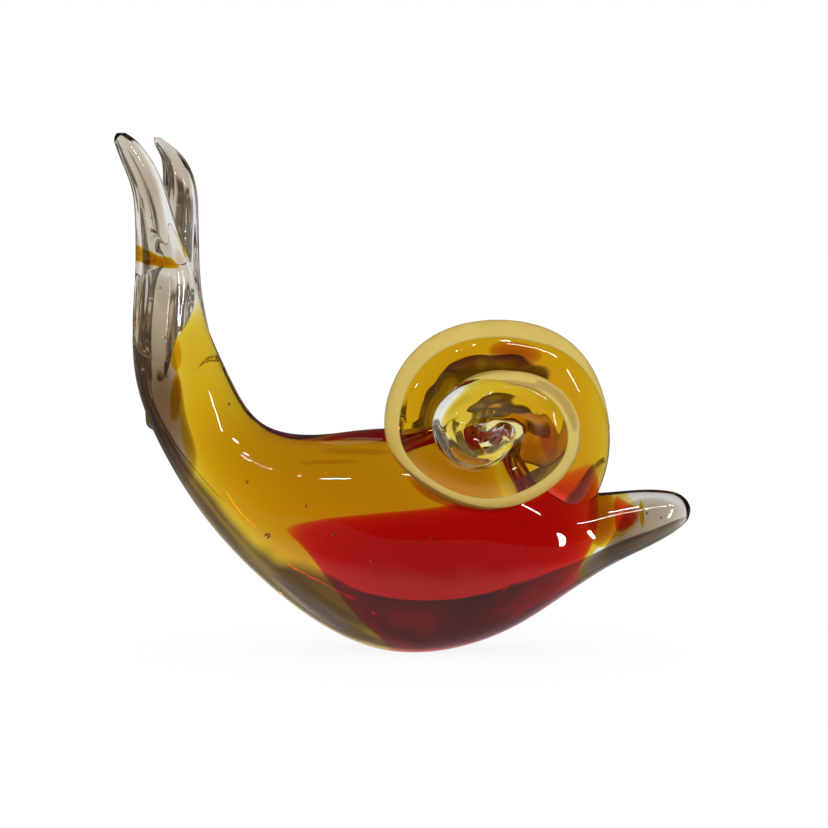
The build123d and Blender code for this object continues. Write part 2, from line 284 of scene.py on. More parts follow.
# Lumps along the rod: where they start and are full, and their waves, all in mm along it.
# Ridges take their place between two shares of its length.
LUMPS_START, LUMPS_FULL = 30.0, 45.0
LUMP_WAVES = (23.0, 11.3)
RIDGE_WAVES = (34.0, 21.0)
RIDGES_START, RIDGES_FULL = 0.66, 0.86
LUMP_SIZE = 0.04         # in radii of the rod
RIDGE_SIZE = 0.05

# Tool ridges on the feelers: size in shares of the hoop, number round it, twist in radians
FEELER_RIDGE_SIZE = 0.06
FEELER_RIDGES = 5
NEAR_TWIST = 2.6
FAR_TWIST = -2.2

# Amber core of the rod: full up to one station, then drawn out to a share of that at its last one
CORE_FULL_STATION = 11.5
CORE_LAST_STATION = 16
CORE_LAST_SHARE = 0.4
CORE_OFFSET = -0.10      # shift outward of its middle, in radii of the rod
CORE_SCALE = 0.82        # its radius, in radii of the rod

# Straw rim on the outer edge of the rod, its arcs in radii of the rod
STRAW_FIRST_STATION = 2
STRAW_LAST_STATION = 13
STRAW_OUTER = 1.008
STRAW_INNER = 0.72
STRAW_HALF_ANGLE = math.radians(60)
STRAW_TAPERS = (0.14, 0.10)    # shares of its length over which its two ends thin out
TAPER_POWER = 0.6
THINNEST = 0.04

ROD_STEPS = 18                 # rows of the mesh from one station to the next
CREASE = math.radians(28)      # seals with a sharper edge stay creased
FEWEST_FACES = 1000            # of a sealed piece

# Ripple of the clear glass and clouds of the straw glass, in metres
RIPPLE_LENGTH = 0.016
RIPPLE_DEPTH = 0.0006
CLOUD_LENGTH = 0.012
CLEAR_INDEX = 1.51             # of refraction

# What the glass shows behind it: how far the white floor reaches in metres, by the cosine of the heading
# from +X, and the colours of the floor further off and of the room, from dark to light
WHITE_REACH = [
    (-0.90, 4.00),
    (-0.75, 0.85),
    (-0.10, 0.85),
    (-0.04, 4.00),
    (0.16, 4.00),
    (0.22, 0.45),
    (0.75, 0.45),
    (0.90, 4.00),
]
LONGEST_REACH = 4.0
FLOOR_STREAKS = ["#241a10", "#54442e", "#7a6a50", "#a3947c", "#e6e2da"]
ROOM_STREAKS = ["#564a42", "#62564a", "#72675c", "#8a8070"]
FLOOR_STRETCH = (1.0, 0.35, 1.0)
ROOM_STRETCH = (1.0, 1.0, 0.3)
STREAK_RANGE = (0.44, 0.63)    # values of the noise that get the first and the last colour

# Smooth steps of light, each with its start, its end and the levels before and after it
FLOOR_MIRRORED = (0.10, 0.22, 0.55, 0.06)    # floor mirrored in glass, by metres from the middle
FLOOR_THROUGH = (0.03, 0.30, 0.62, 0.86)     # white floor seen through glass, by the same
FLOOR_TURNS = (-0.06, 0.14, 0.0, 1.0)        # from white to streaks, by metres past the reach
SWEEP_SIDES = (0.20, 0.32, 1.0, 0.0)         # white low in the room, by |x * y| of the direction
SWEEP_TOP = (-0.10, -0.03, 1.0, 0.0)         # its upper edge, by z - SWEEP_SLOPE * x
SWEEP_SLOPE = 0.8
CEILING = (0.62, 0.82, 0.0, 1.0)             # by z
LEFT_WALL = (-0.95, -0.08, 0.95, 0.0)        # by x
LEFT_WALL_TOP = (0.25, 0.40, 1.0, 0.0)       # by z
END_WALLS = (0.45, 0.70, 1.0, 0.0)           # by |y|

FLOOR_SIZE = 6.0               # metres
FLOOR_COLOUR = "#f4f4f2"
FLOOR_GLOW = 1.04              # of the floor that the camera sees, mixed into the lit paper
FLOOR_GLOW_SHARE = 0.86
ROOM_WHITE = "#f6f5f3"
MIRRORED_ROOM = "#fffdfa"
MIRRORED_STRENGTH = 0.05
SOFT_STRENGTH = 0.95
GLASS_BOUNCES = 40
MIRROR_BOUNCES = 16

# Camera: focal length and sensor in mm, the point that it looks at and its distance in metres
LENS = 140.0
SENSOR = 36.0
LOOK_AT = (-0.0003, 0.0, 0.0661)
CAMERA_DISTANCE = 0.9
CAMERA_RISE = math.radians(5.0)

# Lamps: name, place, width and length in metres, roll in degrees, watts
LAMPS = [
    ("window_low", (0.71, -0.84, 0.14), 0.03, 0.26, 0.0, 1.2),
    ("window_high", (0.495, -0.80, 0.60), 0.03, 0.43, 75.0, 1.5),
    ("softbox", (0.284, -0.739, 0.82), 0.07, 0.07, 0.0, 0.60),
    ("ceiling_strip", (-0.016, -0.944, 0.641), 0.075, 0.014, 0.0, 0.18),
    ("ceiling_spot", (0.075, -0.857, 0.748), 0.025, 0.025, 0.0, 0.08),
    ("left_softbox", (-0.55, -0.88, 0.44), 0.05, 0.05, 0.0, 0.30),
]
LAMP_AIM_HEIGHT = 0.06


def inner_hoops(rows, walls):
    """Hoops inside others: front and back points moved in along the hoop, the half width less a side wall."""
    rows, walls = np.asarray(rows, float), np.asarray(walls, float)
    along = rows[:, 2:4] - rows[:, 0:2]
    along /= np.linalg.norm(along, axis=1, keepdims=True)
    front = rows[:, 0:2] + along * walls[:, 0:1]
    back = rows[:, 2:4] - along * walls[:, 1:2]
    return np.hstack([front, back, rows[:, 4:5] - walls[:, 2:3], rows[:, 5:6]])


def srgb(hex_colour):
    """Linear colour of an sRGB hex value, with an alpha of 1."""
    value = hex_colour.lstrip("#")
    parts = np.array([int(value[i:i + 2], 16) for i in (0, 2, 4)]) / 255
    linear = np.where(parts <= 0.04045, parts / 12.92, ((parts + 0.055) / 1.055) ** 2.4)
    return (*linear.tolist(), 1.0)


def add_node(tree, kind, settings=None, inputs=None):
    """Adds one node and sets its properties and inputs. An input that is another node's output is linked."""
    node = tree.nodes.new(kind)
    for name, value in (settings or {}).items():
        setattr(node, name, value)
    for name, value in (inputs or {}).items():
        if isinstance(value, bpy.types.NodeSocket):
            tree.links.new(value, node.inputs[name])
        else:
            node.inputs[name].default_value = value
    return node


def maths(tree, operation, *values):
    """Output of a maths node, each of its values a number or another node's output."""
    node = add_node(tree, "ShaderNodeMath", {"operation": operation}, dict(enumerate(values)))
    return node.outputs[0]


def eased(tree, value, start, end, before, after):
    """Smooth step from one level to another while a value goes from start to end."""
    node = add_node(tree, "ShaderNodeMapRange", {"interpolation_type": "SMOOTHSTEP"}, {
        "Value": value, "From Min": start, "From Max": end, "To Min": before, "To Max": after})
    return node.outputs["Result"]


def mixed_colour(tree, share, first, second):
    """Colour that is first at a share of 0 and second at a share of 1."""
    node = add_node(tree, "ShaderNodeMix", {"data_type": "RGBA"}, {"Factor": share, 6: first, 7: second})
    return node.outputs[2]


def mixed_shader(tree, share, first, second):
    """Shader that is first at a share of 0 and second at a share of 1."""
    return add_node(tree, "ShaderNodeMixShader", inputs={"Fac": share, 1: first, 2: second}).outputs[0]


def new_material(name):
    """Empty node material with its output node."""
    material = bpy.data.materials.new(name)
    material.use_nodes = True
    material.node_tree.nodes.clear()
    output = add_node(material.node_tree, "ShaderNodeOutputMaterial")
    return material, material.node_tree, output


def smooth_rows(rows, steps):
    """Rows on a natural cubic spline through the rows of a table.

    Each column is a cubic in each span whose second derivative is continuous and zero at both ends.
    The parameter is the square root of the distance between neighbouring rows, added up.
    """
    rows = np.asarray(rows, float)
    count = len(rows)
    span = np.sqrt(np.linalg.norm(np.diff(rows[:, :4], axis=0), axis=1))
    slope = np.diff(rows, axis=0) / span[:, None]
    matrix = np.eye(count)
    inner = np.arange(1, count - 1)
    matrix[inner, inner - 1] = span[:-1]
    matrix[inner, inner] = 2 * (span[:-1] + span[1:])
    matrix[inner, inner + 1] = span[1:]
    right = np.zeros_like(rows)
    right[1:-1] = 6 * np.diff(slope, axis=0)
    bend = np.linalg.solve(matrix, right)
    part = (np.arange(steps) / steps)[None, :, None]
    wide = span[:, None, None]
    first, last = rows[:-1, None], rows[1:, None]
    bend_first, bend_last = bend[:-1, None], bend[1:, None]
    rest = 1 - part
    curve = (rest * first + part * last
             + ((rest ** 3 - rest) * bend_first + (part ** 3 - part) * bend_last) * wide ** 2 / 6)
    return np.vstack([curve.reshape(-1, rows.shape[1]), rows[-1:]])


def hoop_surface(rows, steps, ring, fullness, ridge=0.0, ridges=5, twist=0.0):
    """Grid of egg-shaped hoops: middle + r cos(u) * reach along the hoop + r sin(u) * half width across it.

    The reach to the back is (1 - WIDEST) of the hoop's length and the reach to the front is WIDEST of it.
    A fuller hoop has r = (|cos(u)| ** power + |sin(u)| ** power) ** (-1 / power), which is 1 at a power of
    2, with one power for its back and another for its belly.
    Tool ridges along the piece make the hoop larger by ridge times a mix of cos(ridges * u + twist * t) and
    of a finer set that runs the other way. Here t goes from 0 to 1 along the piece, and the ridges die out
    at both ends.
    """
    rows = smooth_rows(rows, steps)[:, None, :]
    turn = np.linspace(0, 2 * math.pi, ring, endpoint=False)[None, :]
    place = np.linspace(0, 1, len(rows))[:, None]
    coarse = np.cos(ridges * turn + twist * place)
    fine = np.cos((ridges + 4) * turn - 1.6 * twist * place + 1.0)
    swell = 1 + ridge * (0.6 * coarse + 0.4 * fine) * np.sin(math.pi * place) ** 0.5
    power = np.where(np.cos(turn) > 0, *fullness)
    swell = swell * (np.abs(np.cos(turn)) ** power + np.abs(np.sin(turn)) ** power) ** (-1 / power)
    along_x = rows[..., 2] - rows[..., 0]
    along_z = rows[..., 3] - rows[..., 1]
    reach = WIDEST + swell * np.cos(turn) * np.where(np.cos(turn) > 0, 1 - WIDEST, WIDEST)
    x = rows[..., 0] + along_x * reach
    z = rows[..., 1] + along_z * reach
    y = rows[..., 5] + np.abs(rows[..., 4]) * swell * np.sin(turn)
    return np.stack([x, y, z], axis=-1) * MM


def rod_frame(rows):
    """Middle points, outward and sideways directions and radii along a rod that is wound in the XZ plane."""
    middle = rows[:, :3]
    heading = np.gradient(middle, axis=0)
    heading /= np.linalg.norm(heading, axis=1, keepdims=True)
    outward = -np.cross(heading, np.array([0.0, 1.0, 0.0]))
    outward /= np.linalg.norm(outward, axis=1, keepdims=True)
    sideways = np.cross(heading, outward)
    return middle, outward, sideways, rows[:, 3:4]


def rise(value, start, full):
    """0 up to start, 1 from full on, and straight between them."""
    return np.clip((value - start) / (full - start), 0, 1)


def rod_surface(rows, ring, offset=0.0, scale=1.0, lump=0.0, end_lump=0.0):
    """Grid of circles along a rod.

    Its points are middle + radius * (offset + scale * cos(u)) outward + radius * scale * sin(u) sideways.
    Lumps of hand-worked glass on the inner and far sides make the radius larger by lump times the sum of two
    waves that wind along the rod. On the rod's last third they give way to end_lump times ridges that run
    along it.
    """
    middle, outward, sideways, radius = rod_frame(rows)
    turn = np.linspace(0, 2 * math.pi, ring, endpoint=False)[None, :]
    gone = np.concatenate([[0.0], np.cumsum(np.linalg.norm(np.diff(middle, axis=0), axis=1))])[:, None]
    late = rise(gone / gone[-1], RIDGES_START, RIDGES_FULL)
    hidden = (1 - np.cos(turn)) * (1 + np.sin(turn) * np.sign(sideways[:, 1:2])) / 4
    long_lap, short_lap = [2 * math.pi * gone / length for length in LUMP_WAVES]
    wave = np.cos(long_lap + turn) + 0.6 * np.cos(short_lap - 2 * turn + 2)
    long_lap, short_lap = [2 * math.pi * gone / length for length in RIDGE_WAVES]
    ridge = np.cos(5 * turn + long_lap) + 0.6 * np.cos(8 * turn - short_lap + 1)
    swell = lump * hidden * wave * (1 - late) + end_lump * ridge * late
    swell = swell * rise(gone, LUMPS_START, LUMPS_FULL)
    size = (radius * (1 + swell))[:, :, None]
    out, side = np.cos(turn)[:, :, None], np.sin(turn)[:, :, None]
    points = (middle[:, None]
              + outward[:, None] * (radius[:, None] * offset + size * scale * out)
              + sideways[:, None] * (size * scale * side))
    return points * MM


def band_surface(rows, ring, outer, half_angle, inner):
    """Grid of crescents along a rod: an arc of radius outer about the rod's middle, from -half_angle to
    half_angle, and back along a flatter arc whose middle is inner radii out. Both ends thin out."""
    middle, outward, sideways, radius = rod_frame(rows)
    half = ring // 2
    place = np.linspace(0, 1, len(rows))[:, None]
    start, end = STRAW_TAPERS
    taper = np.clip(np.minimum(place / start, (1 - place) / end), THINNEST, 1.0) ** TAPER_POWER
    turn = np.linspace(-1, 1, half)[None, :] * half_angle * taper
    out_x, out_y = outer * np.cos(turn), outer * np.sin(turn)
    part = np.linspace(1, -1, half + 2)[None, 1:-1]
    edge = outer * np.cos(half_angle * taper)
    crest = outer - (outer - inner) * taper
    in_x = crest + (edge - crest) * part ** 2
    in_y = outer * np.sin(half_angle * taper) * part
    x = np.concatenate([out_x, in_x], axis=1)[:, :, None]
    y = np.concatenate([out_y, in_y], axis=1)[:, :, None]
    points = middle[:, None] + radius[:, None] * (outward[:, None] * x + sideways[:, None] * y)
    return points * MM


def rounded_end(rows, steps):
    """Rows of a rod with a half ball added at its last row: radius * cos(a) at radius * sin(a) further on."""
    heading = rows[-1, :3] - rows[-2, :3]
    heading /= np.linalg.norm(heading)
    angle = np.linspace(0, math.pi / 2, steps + 1)[1:, None]
    radius = rows[-1, 3]
    smallest = 0.02
    middle = rows[-1, :3] + heading * radius * np.sin(angle)
    return np.vstack([rows, np.hstack([middle, np.maximum(radius * np.cos(angle), smallest)])])


def ball_surface(middle, radius, rows, ring):
    """Grid of a ball: middle + radius * (sin(a) cos(u), sin(a) sin(u), cos(a))."""
    tilt = np.linspace(0, math.pi, rows + 2)[1:-1, None]
    turn = np.linspace(0, 2 * math.pi, ring, endpoint=False)[None, :]
    x = np.sin(tilt) * np.cos(turn)
    y = np.sin(tilt) * np.sin(turn)
    z = np.cos(tilt) * np.ones_like(turn)
    return (np.asarray(middle) + radius * np.stack([x, y, z], axis=-1)) * MM


def pebble_surface(middle, sizes, rows, ring, tilt=0.0):
    """Ball stretched to half sizes, and sheared so that it rises by tilt for each step along x."""
    points = ball_surface((0, 0, 0), 1.0, rows, ring) * np.asarray(sizes)
    points[..., 2] += tilt * points[..., 0]
    return points + np.asarray(middle) * MM


def grid_faces(grid):
    """Points and triangles of a tube: the grid's rings joined side by side, and a pole at each end."""
    rows, ring = grid.shape[:2]
    points = np.vstack([grid.reshape(-1, 3), grid[0].mean(axis=0), grid[-1].mean(axis=0)])
    row = np.arange(rows - 1)[:, None] * ring
    here = np.arange(ring)[None, :]
    there = (here + 1) % ring
    a, b = row + here, row + there
    c, d = b + ring, a + ring
    sides = np.stack([a, b, c, a, c, d], axis=-1).reshape(-1, 3)
    first = np.stack([there[0], here[0], np.full(ring, rows * ring)], axis=-1)
    last_row = (rows - 1) * ring
    last = np.stack([last_row + here[0], last_row + there[0], np.full(ring, rows * ring + 1)], axis=-1)
    faces = np.vstack([sides, first, last])
    corners = points[faces]
    volume = np.einsum("ij,ij->i", corners[:, 0], np.cross(corners[:, 1], corners[:, 2])).sum()
    return points, faces if volume > 0 else faces[:, ::-1]


def joined(parts):
    """Points and faces of several meshes as one."""
    points, faces, start = [], [], 0
    for part_points, part_faces in parts:
        points.append(part_points)
        faces.append(part_faces + start)
        start += len(part_points)
    return np.vstack(points), np.vstack(faces)


def new_object(name, points, faces):
    """Object at the origin with its place in its mesh, smooth all over."""
    mesh = bpy.data.meshes.new(name)
    mesh.from_pydata(points.tolist(), [], faces.tolist())
    mesh.polygons.foreach_set("use_smooth", np.ones(len(mesh.polygons), bool))
    mesh.update()
    piece = bpy.data.objects.new(name, mesh)
    bpy.context.scene.collection.objects.link(piece)
    return piece


def finish_piece(piece, material, slot, *nodes):
    """Dresses a piece and says which CAD nodes it stands for."""
    piece.data.materials.clear()
    piece.data.materials.append(material)
    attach(piece, "root")
    if nodes:
        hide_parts(*nodes)


def combine(piece, others, operation):
    """Joins others to a piece or cuts them out of it for good, and removes them."""
    for other in others:
        step = piece.modifiers.new(operation.title(), "BOOLEAN")
        step.operation = operation
        step.solver = "MANIFOLD"
        step.object = other
    depsgraph = bpy.context.evaluated_depsgraph_get()
    mesh = bpy.data.meshes.new_from_object(piece.evaluated_get(depsgraph))
    if len(mesh.polygons) < FEWEST_FACES:
        raise RuntimeError(f"{operation.lower()} left too little of {piece.name}")
    piece.modifiers.clear()
    piece.data = mesh
    for other in others:
        bpy.data.objects.remove(other)


def fused(piece, others):
    """Seals others to a piece as one skin of glass, smooth but for the creases at the seals."""
    combine(piece, others, "UNION")
    mesh = piece.data
    mesh.polygons.foreach_set("use_smooth", np.ones(len(mesh.polygons), bool))
    mesh.set_sharp_from_angle(angle=CREASE)


def hollow(piece, grids):
    """Cuts closed shapes out of the inside of a piece, as bubbles in its glass."""
    bubbles = new_object("bubbles", *joined([grid_faces(grid) for grid in grids]))
    combine(piece, [bubbles], "DIFFERENCE")


class SnailGlass(bpy.types.PropertyGroup):
    """Colours of the glasses, and how strongly the coloured ones absorb light"""
    clear_tint: bpy.props.StringProperty(
        name="Clear tint", description="Tint of the clear skin", default="#fbfaf6")
    amber_tint: bpy.props.StringProperty(
        name="Amber", description="Colour of light through amber", default="#f8eb00")
    amber_depth: bpy.props.FloatProperty(
        name="Amber depth", description="Absorption of the amber gather, in 1/m", default=252.0, min=0.0)
    core_depth: bpy.props.FloatProperty(
        name="Core depth", description="Absorption of the rod's amber core, in 1/m", default=420.0, min=0.0)
    # Also sets how dark the painted shade and the painted glint of dark amber are
    drop_and_shade_depth: bpy.props.FloatProperty(
        name="Drop depth", description="Absorption of the dark amber drops, in 1/m", default=900.0, min=0.0)
    ruby_tint: bpy.props.StringProperty(
        name="Ruby", description="Colour of light through ruby", default="#f90006")
    ruby_depth: bpy.props.FloatProperty(
        name="Ruby depth", description="Absorption of the ruby gather, in 1/m", default=320.0, min=0.0)
    # Painted shade: brown veils that stand in for the dark room seen through the clear glass
    shade_tint: bpy.props.StringProperty(
        name="Painted shade", description="Colour of light through smoke", default="#bca069")
    shade_depth: bpy.props.FloatProperty(
        name="Smoke depth", description="Absorption of the shading veils, in 1/m", default=225.0, min=0.0)
    straw_dark: bpy.props.StringProperty(
        name="Dark straw", description="Darker colour in the milky straw rim", default="#dcba52")
    straw_light: bpy.props.StringProperty(
        name="Light straw", description="Lighter colour in the milky straw rim", default="#f0d880")


def clear_glass():
    """Hot-worked clear soda glass: a bright fire-polished skin with the faint ripple of the tools."""
    glass = bpy.context.scene.snail_glass
    material, tree, output = new_material("Clear fire-polished soda glass")
    place = add_node(tree, "ShaderNodeTexCoord")
    ripple = add_node(tree, "ShaderNodeTexNoise", inputs={
        "Vector": place.outputs["Object"], "Scale": 1 / RIPPLE_LENGTH, "Detail": 1.0, "Roughness": 0.4})
    bump = add_node(tree, "ShaderNodeBump", inputs={
        "Height": ripple.outputs["Fac"], "Strength": 0.5, "Distance": RIPPLE_DEPTH})
    shader = add_node(tree, "ShaderNodeBsdfPrincipled", inputs={
        "Base Color": srgb(glass.clear_tint), "Roughness": 0.0, "IOR": CLEAR_INDEX,
        "Transmission Weight": 1.0, "Normal": bump.outputs["Normal"]})
    tree.links.new(shader.outputs["BSDF"], output.inputs["Surface"])
    return material


def coloured_glass(name, tint, depth):
    """Coloured glass under the clear skin. It has the skin's own index, so its surface doesn't bend light
    and only its body colours it."""
    material, tree, output = new_material(name)
    shader = add_node(tree, "ShaderNodeBsdfPrincipled", inputs={
        "Base Color": (1, 1, 1, 1), "Roughness": 0.0, "IOR": 1.0, "Transmission Weight": 1.0})
    body = add_node(tree, "ShaderNodeVolumeAbsorption", inputs={"Color": srgb(tint), "Density": depth})
    tree.links.new(shader.outputs["BSDF"], output.inputs["Surface"])
    tree.links.new(body.outputs["Volume"], output.inputs["Volume"])
    return material


def straw_glass():
    """Straw-coloured opal glass on the outer edge of the rod: milky, so it glows with the light round it."""
    glass = bpy.context.scene.snail_glass
    material, tree, output = new_material("Straw opal glass")
    place = add_node(tree, "ShaderNodeTexCoord")
    cloud = add_node(tree, "ShaderNodeTexNoise", inputs={
        "Vector": place.outputs["Object"], "Scale": 1 / CLOUD_LENGTH, "Detail": 3.0})
    ramp = add_node(tree, "ShaderNodeValToRGB", inputs={"Fac": cloud.outputs["Fac"]})
    set_ramp(ramp, [(0.0, srgb(glass.straw_dark)), (1.0, srgb(glass.straw_light))])
    shader = add_node(tree, "ShaderNodeBsdfPrincipled", inputs={
        "Base Color": ramp.outputs["Color"], "Roughness": 0.12, "IOR": 1.5, "Transmission Weight": 0.06})
    tree.links.new(shader.outputs["BSDF"], output.inputs["Surface"])
    return material


def feeler(name, rows, twist):
    """Drawn feeler with tool ridges that twist along it."""
    grid = hoop_surface(rows, steps=10, ring=80, fullness=FEELER_FULLNESS,
                        ridge=FEELER_RIDGE_SIZE, ridges=FEELER_RIDGES, twist=twist)
    return new_object(name, *grid_faces(grid))


def gather(tables, steps, ring, fullness):
    """Points and faces of masses of glass, each with its own table of hoops."""
    return joined([grid_faces(hoop_surface(rows, steps, ring, fullness)) for rows in tables])


class SNAIL_OT_skin(bpy.types.Operator):
    """Clear outer skin: the body, both feelers and the coiled rod, sealed into one"""
    bl_idname = "snail.skin"
    bl_label = "Clear skin"

    def execute(self, context):
        body_grid = hoop_surface(BODY_HOOPS, steps=14, ring=112, fullness=BODY_FULLNESS)
        body_grid[..., 2] = np.maximum(body_grid[..., 2], 0.0)
        skin = new_object("clear_skin", *grid_faces(body_grid))
        near = feeler("near_bit", NEAR_FEELER_HOOPS, NEAR_TWIST)
        far = feeler("far_bit", FAR_FEELER_HOOPS, FAR_TWIST)
        rod_rows = rounded_end(smooth_rows(COIL_STATIONS, ROD_STEPS), steps=10)
        rod_grid = rod_surface(rod_rows, ring=64, lump=LUMP_SIZE, end_lump=RIDGE_SIZE)
        rod = new_object("rod", *grid_faces(rod_grid))
        knob = new_object("knob", *grid_faces(pebble_surface(*KNOB, rows=24, ring=48)))
        fused(skin, [near, far, rod, knob])
        hollow(skin, [ball_surface(seed[:3], seed[3], rows=7, ring=12) for seed in SEEDS])
        finish_piece(skin, clear_glass(), "clear_glass", "clear_casing", "head_bit", "near_feeler",
                     "far_feeler", "tail_tip", "coil_end_curl")
        return {"FINISHED"}


class SNAIL_OT_gathers(bpy.types.Operator):
    """Amber and ruby gathers inside the skin, with dark amber drops, a painted glint, and painted shade in
    dark amber and in brown veils
    """
    bl_idname = "snail.gathers"
    bl_label = "Gathers, drops and veils"

    def execute(self, context):
        glass = context.scene.snail_glass
        cased = BODY_HOOPS[AMBER_FIRST_HOOP:AMBER_FIRST_HOOP + len(AMBER_WALLS)]
        rows = np.vstack([AMBER_NECK_NOSE, inner_hoops(cased, AMBER_WALLS), AMBER_TAIL_NOSE])
        amber = new_object("amber_gather", *gather([rows], steps=10, ring=64, fullness=AMBER_FULLNESS))
        amber_glass = coloured_glass("Amber glass", glass.amber_tint, glass.amber_depth)
        finish_piece(amber, amber_glass, "amber_glass", "amber_overlay")

        pebbles = []
        # Some of these drops are painted shade and a painted glint; the painted shadow under the coil goes
        # with them
        for middle, sizes, tilt in DARK_AMBER_AND_PAINTED_SHADE:
            pebbles.append(grid_faces(pebble_surface(middle, sizes, rows=16, ring=40, tilt=tilt)))
        # Painted shadow under the coil, together with the dark amber fold across the near feeler
        fold_and_coil_shadow = gather([COIL_SHADOW_HOOPS, FOLD_HOOPS], steps=8, ring=40, fullness=FEELER_FULLNESS)
        drops_and_shade = new_object("amber_drops_and_painted_shade", *joined([*pebbles, fold_and_coil_shadow]))
        drop_and_shade_glass = coloured_glass("Dark amber glass and painted shade", glass.amber_tint, glass.drop_and_shade_depth)
        finish_piece(drops_and_shade, drop_and_shade_glass, "amber_glass")

        masses = gather([RUBY_HOOPS, RUBY_TAIL_HOOPS], steps=10, ring=64, fullness=RUBY_FULLNESS)
        ruby = new_object("ruby_gather", *masses)
        ruby_glass = coloured_glass("Ruby glass", glass.ruby_tint, glass.ruby_depth)
        finish_piece(ruby, ruby_glass, "ruby_glass", "ruby_core")

        # Painted shade: brown veils in the clear neck, tail and feeler tips, standing in for the dark room
        # seen through them
        veils = [NECK_SHADE_HOOPS, TAIL_SHADE_HOOPS]
        for hoops in (NEAR_FEELER_HOOPS, FAR_FEELER_HOOPS):
            veils.append(inner_hoops(hoops[SHADE_FIRST_HOOP:], SHADE_WALLS))
        painted_shade = new_object("painted_shade_veils", *gather(veils, steps=8, ring=48, fullness=FEELER_FULLNESS))
        shade_glass = coloured_glass("Brown glass of painted shade", glass.shade_tint, glass.shade_depth)
        finish_piece(painted_shade, shade_glass, "amber_glass")
        return {"FINISHED"}


class SNAIL_OT_rod(bpy.types.Operator):
    """Amber core and straw rim inside the coiled rod"""
    bl_idname = "snail.rod"
    bl_label = "Rod core and straw rim"

    def execute(self, context):
        glass = context.scene.snail_glass
        rows = smooth_rows(COIL_STATIONS, ROD_STEPS)
        first = ROD_STEPS // 2
        core_rows = rows[first:CORE_LAST_STATION * ROD_STEPS + 1].copy()
        station = (np.arange(len(core_rows)) + first) / ROD_STEPS
        core_rows[:, 3] *= np.interp(station, [CORE_FULL_STATION, CORE_LAST_STATION], [1.0, CORE_LAST_SHARE])
        core_rows = rounded_end(core_rows, steps=6)
        core_grid = rod_surface(core_rows, ring=48, offset=CORE_OFFSET, scale=CORE_SCALE)
        core = new_object("rod_core", *grid_faces(core_grid))
        heart = new_object("heart", *grid_faces(pebble_surface(*KNOB_HEART, rows=20, ring=40)))
        fused(core, [heart])
        core_glass = coloured_glass("Deep amber glass", glass.amber_tint, glass.core_depth)
        finish_piece(core, core_glass, "amber_glass", "coil_core")

        band_rows = rows[STRAW_FIRST_STATION * ROD_STEPS:STRAW_LAST_STATION * ROD_STEPS + 1]
        band_grid = band_surface(band_rows, ring=48, outer=STRAW_OUTER, half_angle=STRAW_HALF_ANGLE,
                                 inner=STRAW_INNER)
        band = new_object("straw_rim", *grid_faces(band_grid))
        finish_piece(band, straw_glass(), "straw_glass", "coil_casing")
        return {"FINISHED"}


def set_ramp(ramp, stops):
    """Gives a colour ramp its stops, each a place from 0 to 1 and a colour."""
    elements = ramp.color_ramp.elements
    elements.remove(elements[1])
    first, *rest = stops
    elements[0].position, elements[0].color = first
    for place, colour in rest:
        elements.new(place).color = colour


def streaks(tree, place, stretch, colours):
    """Colour of the room round the glass: streaks between colours from dark to light.

    They are longer along an axis where stretch is less.
    """
    stretched = add_node(tree, "ShaderNodeVectorMath", {"operation": "MULTIPLY"}, {0: place, 1: stretch})
    noise = add_node(tree, "ShaderNodeTexNoise", inputs={
        "Vector": stretched.outputs["Vector"], "Scale": 6.0, "Detail": 2.0, "Roughness": 0.55})
    ramp = add_node(tree, "ShaderNodeValToRGB", inputs={"Fac": noise.outputs["Fac"]})
    set_ramp(ramp, zip(np.linspace(*STREAK_RANGE, len(colours)).tolist(), map(srgb, colours)))
    return ramp.outputs["Color"]


def past_white(tree, place, away):
    """How far a point of the floor lies past the white part that is seen through glass, in metres."""
    split = add_node(tree, "ShaderNodeSeparateXYZ", inputs={"Vector": place})
    heading = maths(tree, "DIVIDE", split.outputs["X"], away)
    share_round = maths(tree, "MULTIPLY_ADD", heading, 0.5, 0.5)
    ramp = add_node(tree, "ShaderNodeValToRGB", inputs={"Fac": share_round})
    stops = []
    for cosine, metres in WHITE_REACH:
        grey = metres / LONGEST_REACH
        stops.append(((cosine + 1) / 2, (grey, grey, grey, 1)))
    set_ramp(ramp, stops)
    return maths(tree, "MULTIPLY_ADD", ramp.outputs["Color"], -LONGEST_REACH, away)


def unscattered(tree, path, ray):
    """1 for a kind of ray as long as no matt surface has scattered it, and 0 otherwise."""
    fresh = maths(tree, "LESS_THAN", path.outputs["Diffuse Depth"], 0.5)
    return maths(tree, "MULTIPLY", ray, fresh)


